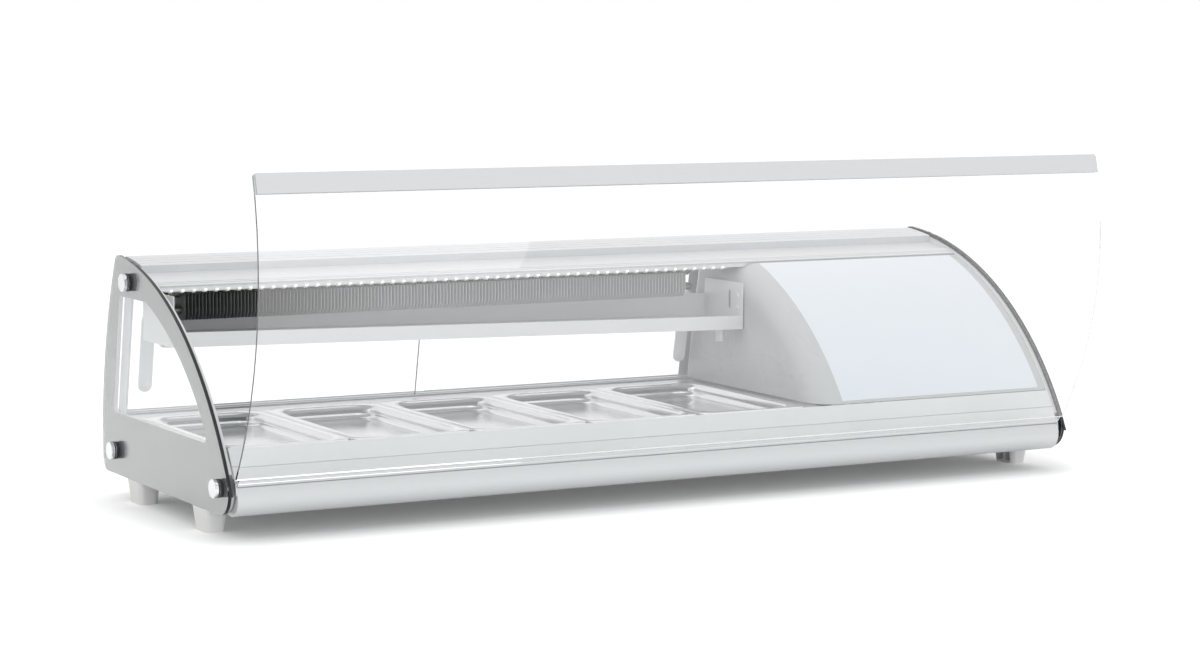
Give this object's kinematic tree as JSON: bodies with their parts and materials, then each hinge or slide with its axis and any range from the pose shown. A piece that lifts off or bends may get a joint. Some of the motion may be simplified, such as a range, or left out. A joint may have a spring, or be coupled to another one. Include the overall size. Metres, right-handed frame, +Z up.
{
  "type": "refrigerated counter display case",
  "caption": "Refrigerated glass counter display case for food pans, with a curved flip-up front glass and sliding rear doors.",
  "frame": {"origin": "centre of the bounding box's footprint on the counter, with the front glass open", "axes": "+X along the case to the right seen from the front, +Y to the back, +Z up"},
  "size_m": [1.3806, 0.5671, 0.4836],
  "materials": {
    "clear_glass": "clear",
    "grey_print": "satin",
    "light_plastic": "satin",
    "cover_plastic": "satin",
    "lit_acrylic": "translucent",
    "white_foot": "satin",
    "chrome": "polished",
    "dark_rubber": "matte",
    "silver_aluminium": "satin anodised",
    "steel": "brushed",
    "fin_aluminium": "plain",
    "copper_tube": "plain",
    "led_board": "satin",
    "white_steel": "satin",
    "foam": "matte",
    "black_steel": "satin",
    "black_plastic": "satin"
  },
  "bodies": {
    "case": {"side_glass_left": "clear_glass", "side_glass_right": "clear_glass", "side_print_left": "grey_print", "side_print_right": "grey_print", "end_cheek_left": "light_plastic", "end_cheek_right": "light_plastic", "rear_jamb_left": "silver_aluminium", "rear_jamb_right": "silver_aluminium", "standoff_caps": "chrome", "standoff_washers": "dark_rubber", "canopy": "silver_aluminium", "led_strip": "led_board", "drip_tray": "steel", "tray_brackets": "steel", "evaporator_fins": "fin_aluminium", "evaporator_coil": "copper_tube", "front_fascia": "silver_aluminium", "hinge_rod": "steel", "hinge_plates": "steel", "base_tray": "white_steel", "insulation": "foam", "well_liner": "steel", "pan_deck": "steel", "pan_crossbars": "steel", "compressor_cover": "cover_plastic", "lit_panel": "lit_acrylic", "door_track_lower": "silver_aluminium", "door_track_upper": "silver_aluminium", "feet": "white_foot", "compressor": "black_steel", "condenser": "fin_aluminium", "fan_shroud": "white_steel", "rear_panel": "white_steel", "controller": "black_plastic", "switch_frame": "black_plastic", "cable_gland": "black_plastic"},
    "front_glass_body": {"glass_holder": "silver_aluminium", "front_glass": "clear_glass", "glass_grip": "silver_aluminium"},
    "door_left": {"sliding_door_left": "clear_glass", "door_handle_left": "silver_aluminium"},
    "door_right": {"sliding_door_right": "clear_glass", "door_handle_right": "silver_aluminium"},
    "lift_pan_1": {"pan_1": "steel"},
    "lift_pan_2": {"pan_2": "steel"},
    "lift_pan_3": {"pan_3": "steel"},
    "lift_pan_4": {"pan_4": "steel"},
    "lift_pan_5": {"pan_5": "steel"},
    "fan": {"condenser_fan": "black_plastic"},
    "rocker": {"switch_rocker": "black_plastic"},
    "button_1": {"controller_button_1": "black_plastic"},
    "button_2": {"controller_button_2": "black_plastic"},
    "button_3": {"controller_button_3": "black_plastic"},
    "button_4": {"controller_button_4": "black_plastic"}
  },
  "joints": [
    {"name": "front_glass_hinge", "type": "hinge", "parent": "case", "child": "front_glass_body", "pos_m": [0, -0.1922, 0.077], "axis": [1, 0, 0], "range_deg": [-62, 0]},
    {"name": "door_left_slide", "type": "slide", "parent": "case", "child": "door_left", "axis": [1, 0, 0], "range_m": [0, 0.43]},
    {"name": "door_right_slide", "type": "slide", "parent": "case", "child": "door_right", "axis": [1, 0, 0], "range_m": [-0.43, 0]},
    {"name": "pan_1_lift", "type": "slide", "parent": "case", "child": "lift_pan_1", "axis": [0, 0, 1], "range_m": [0, 0.06]},
    {"name": "pan_2_lift", "type": "slide", "parent": "case", "child": "lift_pan_2", "axis": [0, 0, 1], "range_m": [0, 0.06]},
    {"name": "pan_3_lift", "type": "slide", "parent": "case", "child": "lift_pan_3", "axis": [0, 0, 1], "range_m": [0, 0.06]},
    {"name": "pan_4_lift", "type": "slide", "parent": "case", "child": "lift_pan_4", "axis": [0, 0, 1], "range_m": [0, 0.06]},
    {"name": "pan_5_lift", "type": "slide", "parent": "case", "child": "lift_pan_5", "axis": [0, 0, 1], "range_m": [0, 0.06]},
    {"name": "fan_spin", "type": "hinge", "parent": "case", "child": "fan", "pos_m": [0.56, 0.173, 0.105], "axis": [0, 1, 0], "continuous": true},
    {"name": "rocker_tilt", "type": "hinge", "parent": "case", "child": "rocker", "pos_m": [0.3, 0.24455, 0.22962], "axis": [1, 0, 0], "range_deg": [0, 13]},
    {"name": "button_1_press", "type": "slide", "parent": "case", "child": "button_1", "axis": [0, -0.9819, -0.1893], "range_m": [0, 0.001], "stiffness_N_per_m": 300},
    {"name": "button_2_press", "type": "slide", "parent": "case", "child": "button_2", "axis": [0, -0.9819, -0.1893], "range_m": [0, 0.001], "stiffness_N_per_m": 300},
    {"name": "button_3_press", "type": "slide", "parent": "case", "child": "button_3", "axis": [0, -0.9819, -0.1893], "range_m": [0, 0.001], "stiffness_N_per_m": 300},
    {"name": "button_4_press", "type": "slide", "parent": "case", "child": "button_4", "axis": [0, -0.9819, -0.1893], "range_m": [0, 0.001], "stiffness_N_per_m": 300}
  ]
}
